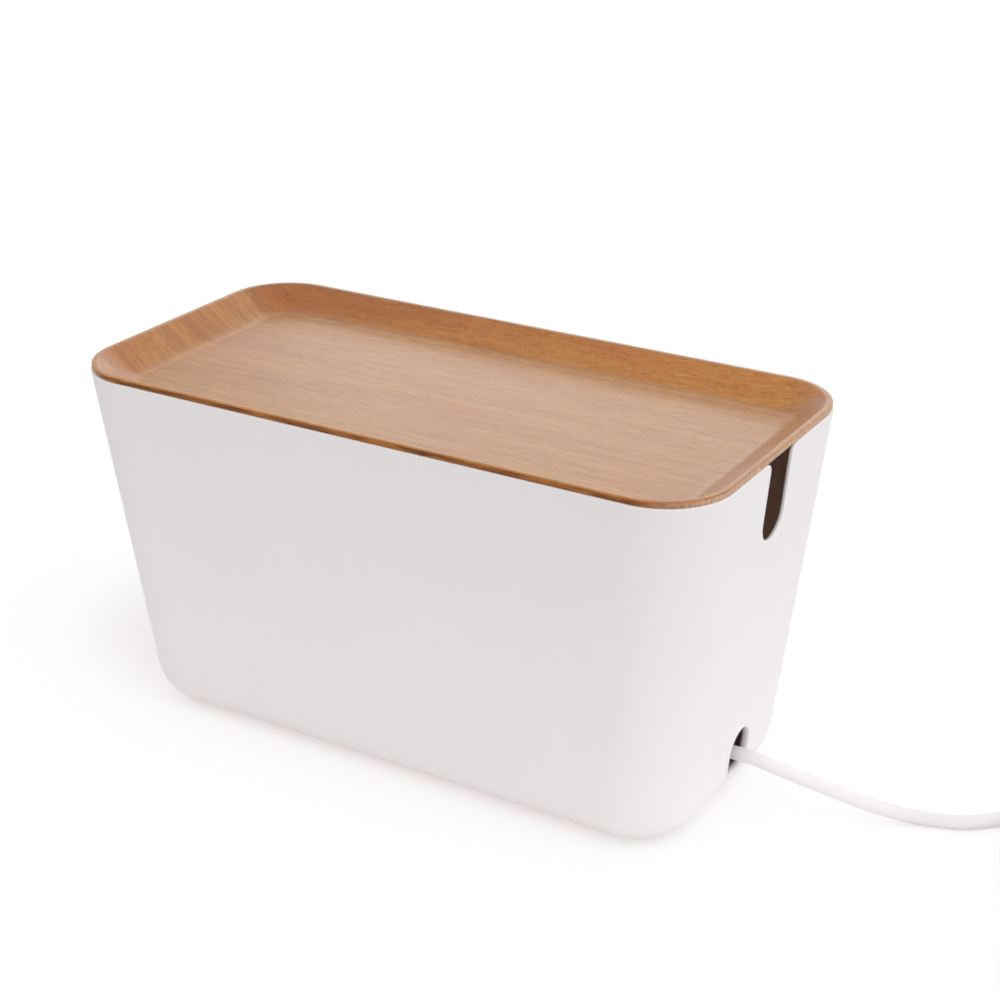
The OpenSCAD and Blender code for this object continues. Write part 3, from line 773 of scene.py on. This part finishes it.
def pressed_wood(name):
    """Veneer with its grain along X, pressed over every wall of the tray, under a satin lacquer."""
    material, tree, shader = new_material(
        name, WOOD_MID, 0.5, IOR=1.5, Specular_IOR_Level=0.15,
        Coat_Weight=1.0, Coat_Roughness=0.25, Coat_IOR=1.35,
    )
    coordinates = add(tree, "ShaderNodeTexCoord").outputs

    def layer(place, kind):
        scale, detail, roughness = kind
        return noise(tree, scaled(tree, place, scale), detail, roughness)

    sway = math_node(tree, "SUBTRACT", layer(coordinates["Object"], SWAY), 0.5)
    place = add(tree, "ShaderNodeSeparateXYZ", {0: coordinates["Object"]}).outputs
    across = plus(tree, place["Y"], times(tree, sway, SWAY_REACH))
    grain = add(tree, "ShaderNodeCombineXYZ", {"X": place["X"], "Y": across, "Z": 0.0}).outputs[0]
    bands, streaks, dashes, fibres = [
        layer(grain, kind) for kind in (BANDS, STREAKS, DASHES, FIBRES)
    ]
    tone = 0.0
    for part, share in zip((bands, streaks, dashes, fibres), TONE_SHARES):
        tone = plus(tree, tone, times(tree, spread(tree, part), share))
    colour = mix(tree, ramp(tree, tone, *TONE_RANGE), WOOD_MID, WOOD_PALE)
    smudge = ramp(tree, layer(grain, SMUDGES), *SMUDGE_RANGE)
    colour = mix(tree, times(tree, smudge, SMUDGE_COVER), colour, WOOD_RUDDY)
    pores = ramp(tree, layer(grain, PORES), *PORE_RANGE)
    colour = mix(tree, times(tree, pores, PORE_COVER), colour, WOOD_DEEP)
    back_left_dark = ramp(tree, place["X"], *BACK_LEFT_DARK_ALONG, BACK_LEFT_DARK_COVER, 0.0)
    back_left_dark = times(tree, ramp(tree, across, *BACK_LEFT_DARK_ACROSS), back_left_dark)
    colour = mix(tree, back_left_dark, colour, WOOD_BACK_LEFT_DARK)

    # Which way a face looks tells the long walls, the end walls and the cut edge apart
    facing = add(
        tree, "ShaderNodeVectorMath", {0: coordinates["Normal"]}, operation="ABSOLUTE"
    ).outputs[0]
    facing = add(tree, "ShaderNodeSeparateXYZ", {0: facing}).outputs
    # The long and end walls get a tint by which way they face: painted light
    for axis, tint in (("Y", LONG_WALL_PAINTED_LIGHT), ("X", END_WALL_PAINTED_LIGHT)):
        colour = mix(tree, ramp(tree, facing[axis], 0.2, 0.55), colour, tint, "MULTIPLY")
    stripes = ramp(tree, bands, *STRIPE_RANGE, 0, STRIPE_COVER)
    stripes = times(tree, stripes, ramp(tree, facing["X"], 0.05, 0.5))
    colour = mix(tree, stripes, colour, WOOD_STRIPE)
    lacquered = ramp(tree, facing["Z"], 0.25, 0.7)
    colour = mix(tree, lacquered, cut_edge(tree, facing), colour)
    tree.links.new(colour, shader.inputs["Base Color"])
    tree.links.new(ramp(tree, lacquered, 0, 1, 0.15, 1), shader.inputs["Coat Weight"])
    tree.links.new(spread(tree, streaks, 0.55, 0.45), shader.inputs["Roughness"])
    bump(tree, shader, plus(tree, fibres, dashes), 0.22, 0.03 * MM)
    return material


def bare_metal(name, colour, roughness=0.3):
    """Metal drawn along X, with faint lines in its gloss."""
    material, tree, shader = new_material(name, colour, roughness, Metallic=1.0)
    lines = noise(tree, stretched(tree, (60, 2400, 2400)))
    gloss = spread(tree, lines, roughness - 0.08, roughness + 0.08)
    tree.links.new(gloss, shader.inputs["Roughness"])
    cloud = noise(tree, stretched(tree, even(120)), 2)
    mottle(tree, shader, spread(tree, cloud), colour, 0.9)
    bump(tree, shader, lines, 0.15, 0.01 * MM)
    return material


def woven_strap(name, colour):
    """Strap of hook-and-loop tape."""
    material, tree, shader = new_material(name, colour, 0.9, Sheen_Weight=0.4)
    weave = noise(tree, stretched(tree, even(1800)))
    mottle(tree, shader, ramp(tree, weave, 0.35, 0.65), colour, 0.5, 1.6)
    bump(tree, shader, weave, 0.6, 0.15 * MM)
    return material


def give(material, *nodes):
    """Gives CAD nodes that material."""
    for node in nodes:
        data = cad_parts[node].data
        data.materials.clear()
        data.materials.append(material)


def soften(width, *nodes):
    """Rounds the sharp edges of CAD nodes a little."""
    for node in nodes:
        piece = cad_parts[node]
        weld(piece)
        round_edges(piece, width, 2, 40)
        weld(piece)


# ---------------------------------------------------------------- stage and light

FLOOR_HALF = 6
# What the floor throws back near the object and far from it, and where that changes
FLOOR_ALBEDO = (0.98, 0.4)
FLOOR_FADE = (0.25, 0.95)
# The floor as it is seen: a part that the lamps light, and a glow with painted shade in it
SEEN_ALBEDO = (0.215, 0.275, 0.280)
GLOW_OPEN = (0.815, 0.760, 0.755)
GLOW_SHADED = (0.315, 0.145, 0.135)
# Painted shade in the gap under the tub and along the foot of its walls, and how far each reaches
GAP_SHADE, GAP_REACH, GAP_FALL = 0.14, 8 * MM, 4
WALL_SHADE, WALL_REACH = 0.055, 40 * MM
# Painted shade on the side away from the key lamp: its depth, its middle and where it fades out
LEE_SHADE = 0.12
LEE = (-0.140, 0.035, 0)
LEE_FADE = (0.045, 0.100)
# Where the panel of sheen points
LID_MIDDLE = Vector((0, 0, 0.16))


def seen_ray(tree):
    """1 for a camera, glossy or transmission ray."""
    light_path = add(tree, "ShaderNodeLightPath").outputs
    direct = math_node(tree, "MAXIMUM", light_path["Is Camera Ray"], light_path["Is Glossy Ray"])
    return math_node(tree, "MAXIMUM", direct, light_path["Is Transmission Ray"])


def make_world(level, slant):
    """White to the camera and in gloss, and for all else a soft light that is stronger from +X."""
    world = bpy.data.worlds.new("world")
    bpy.context.scene.world = world
    world.use_nodes = True
    tree = world.node_tree
    towards = add(tree, "ShaderNodeTexCoord").outputs["Generated"]
    towards = add(tree, "ShaderNodeSeparateXYZ", {0: towards}).outputs["X"]
    light = ramp(tree, towards, -1, 1, level - slant, level + slant)
    seen = seen_ray(tree)
    unseen = math_node(tree, "SUBTRACT", 1.0, seen)
    strength = plus(tree, seen, times(tree, unseen, light))
    tree.links.new(strength, tree.nodes["Background"].inputs["Strength"])
    tree.nodes["Background"].inputs["Color"].default_value = (1, 1, 1, 1)


def hidden(tree, reach):
    """How much of a point's sky is closed off within that reach."""
    open_sky = add(tree, "ShaderNodeAmbientOcclusion", {"Distance": reach}, samples=8).outputs["AO"]
    return math_node(tree, "SUBTRACT", 1.0, open_sky)


def distance(tree, place, point):
    """Distance of a place from a point."""
    return add(
        tree, "ShaderNodeVectorMath", {0: place, 1: point}, operation="DISTANCE"
    ).outputs["Value"]


def make_floor():
    """Pale floor that looks white away from the object's shadow and the shade painted round the
    object.
    """
    mesh = bpy.data.meshes.new("floor")
    corners = [
        (sx * FLOOR_HALF, sy * FLOOR_HALF, 0) for sx, sy in ((-1, -1), (1, -1), (1, 1), (-1, 1))
    ]
    mesh.from_pydata(corners, [], [(0, 1, 2, 3)])
    floor = bpy.data.objects.new("floor", mesh)
    bpy.context.collection.objects.link(floor)
    material = bpy.data.materials.new("floor")
    material.use_nodes = True
    tree = material.node_tree
    tree.nodes.remove(tree.nodes["Principled BSDF"])
    place = add(tree, "ShaderNodeTexCoord").outputs["Object"]
    albedo = ramp(tree, distance(tree, place, (0, 0, 0)), *FLOOR_FADE, *FLOOR_ALBEDO)
    plain = add(tree, "ShaderNodeBsdfDiffuse", {"Color": albedo}).outputs[0]
    pale = add(tree, "ShaderNodeBsdfDiffuse", {"Color": (*SEEN_ALBEDO, 1)}).outputs[0]
    gap = times(tree, math_node(tree, "POWER", hidden(tree, GAP_REACH), GAP_FALL), GAP_SHADE)
    wall = times(tree, hidden(tree, WALL_REACH), WALL_SHADE)
    lee = ramp(tree, distance(tree, place, LEE), *LEE_FADE, LEE_SHADE, 0)
    shaded = times(tree, plus(tree, plus(tree, gap, wall), lee), 2)
    colour = mix(tree, shaded, GLOW_OPEN, GLOW_SHADED)
    glow = add(tree, "ShaderNodeEmission", {"Color": colour}).outputs[0]
    seen = add(tree, "ShaderNodeAddShader", {0: pale, 1: glow}).outputs[0]
    choice = add(tree, "ShaderNodeMixShader", {0: seen_ray(tree), 1: plain, 2: seen}).outputs[0]
    tree.links.new(choice, tree.nodes["Material Output"].inputs["Surface"])
    mesh.materials.append(material)


def add_lamp(name, kind, power, towards):
    """A lamp that shines in a direction. Returns it with its data."""
    data = bpy.data.lights.new(name, kind)
    data.energy = power
    lamp = bpy.data.objects.new(name, data)
    lamp.rotation_euler = towards.to_track_quat("-Z", "Y").to_euler()
    bpy.context.collection.objects.link(lamp)
    return lamp, data


def soft_sun(name, direction, angle, power):
    """A wide lamp far away in that direction, which lights floor and object evenly."""
    data = add_lamp(name, "SUN", power, -Vector(direction))[1]
    data.angle = math.radians(angle)


def sheen_panel(name, place, size, power):
    """A wide panel behind the object that shows only as a sheen on glossy faces."""
    lamp, data = add_lamp(name, "AREA", power, LID_MIDDLE - Vector(place))
    data.shape = "RECTANGLE"
    data.size, data.size_y = size
    lamp.location = place
    lamp.visible_camera = False
    lamp.visible_diffuse = False


# ---------------------------------------------------------------- the object

make_camera()

tub_white = moulded_plastic(
    "tub_white", (0.905, 0.849, 0.849), 0.5,
    Subsurface_Weight=0.24, Subsurface_Scale=3 * MM, Subsurface_Radius=(1, 0.6, 0.45),
)
jacket_white = moulded_plastic(
    "jacket_white", (0.845, 0.815, 0.82), 0.5, grain=900, depth=0.05 * MM,
    Subsurface_Weight=0.7, Subsurface_Scale=8 * MM, Subsurface_Radius=(1, 0.8, 0.7),
)
wood = pressed_wood("wood")
strip_white = moulded_plastic("strip_white", (0.80, 0.80, 0.79), 0.35)
pad_grey = moulded_plastic("pad_grey", (0.30, 0.30, 0.30), 0.8, grain=1200, depth=0.1 * MM)
switch_black = moulded_plastic("switch_black", (0.02, 0.02, 0.02), 0.4)
rocker_red = moulded_plastic("rocker_red", (0.45, 0.02, 0.015), 0.25)
brass = bare_metal("brass", (0.78, 0.55, 0.22))
steel = bare_metal("steel", (0.62, 0.62, 0.62))
live_brown = moulded_plastic("live_brown", (0.16, 0.07, 0.035), 0.5)
neutral_blue = moulded_plastic("neutral_blue", (0.03, 0.13, 0.45), 0.5)
earth_green = moulded_plastic("earth_green", (0.30, 0.50, 0.04), 0.5)
strap_black = woven_strap("strap_black", (0.02, 0.02, 0.022))

cord, cord_line, cord_length = make_cord(jacket_white)
ties = make_ties(strap_black)

make_tub(tub_white)
make_tray(wood)
give(strip_white, "strip_base", "strip_cover", "cord_clamp", "strip_sleeve")
give(pad_grey, *FEET)
give(brass, "live_busbar", "neutral_busbar", "switch_terminals")
give(steel, "strip_screws", "earth_rail", "clamp_screws", "plug_pins", "plug_earth_contacts")
give(switch_black, "switch_frame")
give(rocker_red, "switch_rocker")
give(live_brown, "live_leads")
give(neutral_blue, "neutral_leads")
give(earth_green, "earth_lead")
give(jacket_white, "cord_inner_end", "plug_body", "plug_sleeve")

soften(0.4 * MM, "plug_body")
soften(0.2 * MM, "strip_base", "strip_cover", "strip_sleeve", "cord_clamp", "plug_sleeve",
       "switch_frame", "switch_rocker")

make_world(level=0.87, slant=0.27)
make_floor()
soft_sun("key", direction=(0.72, -0.12, 0.68), angle=50, power=0.40)
sheen_panel("back", place=(-0.22, 2.85, 1.48), size=(4, 1.5), power=16.5)
bpy.context.scene.view_settings.view_transform = "Standard"

bpy.context.view_layer.update()
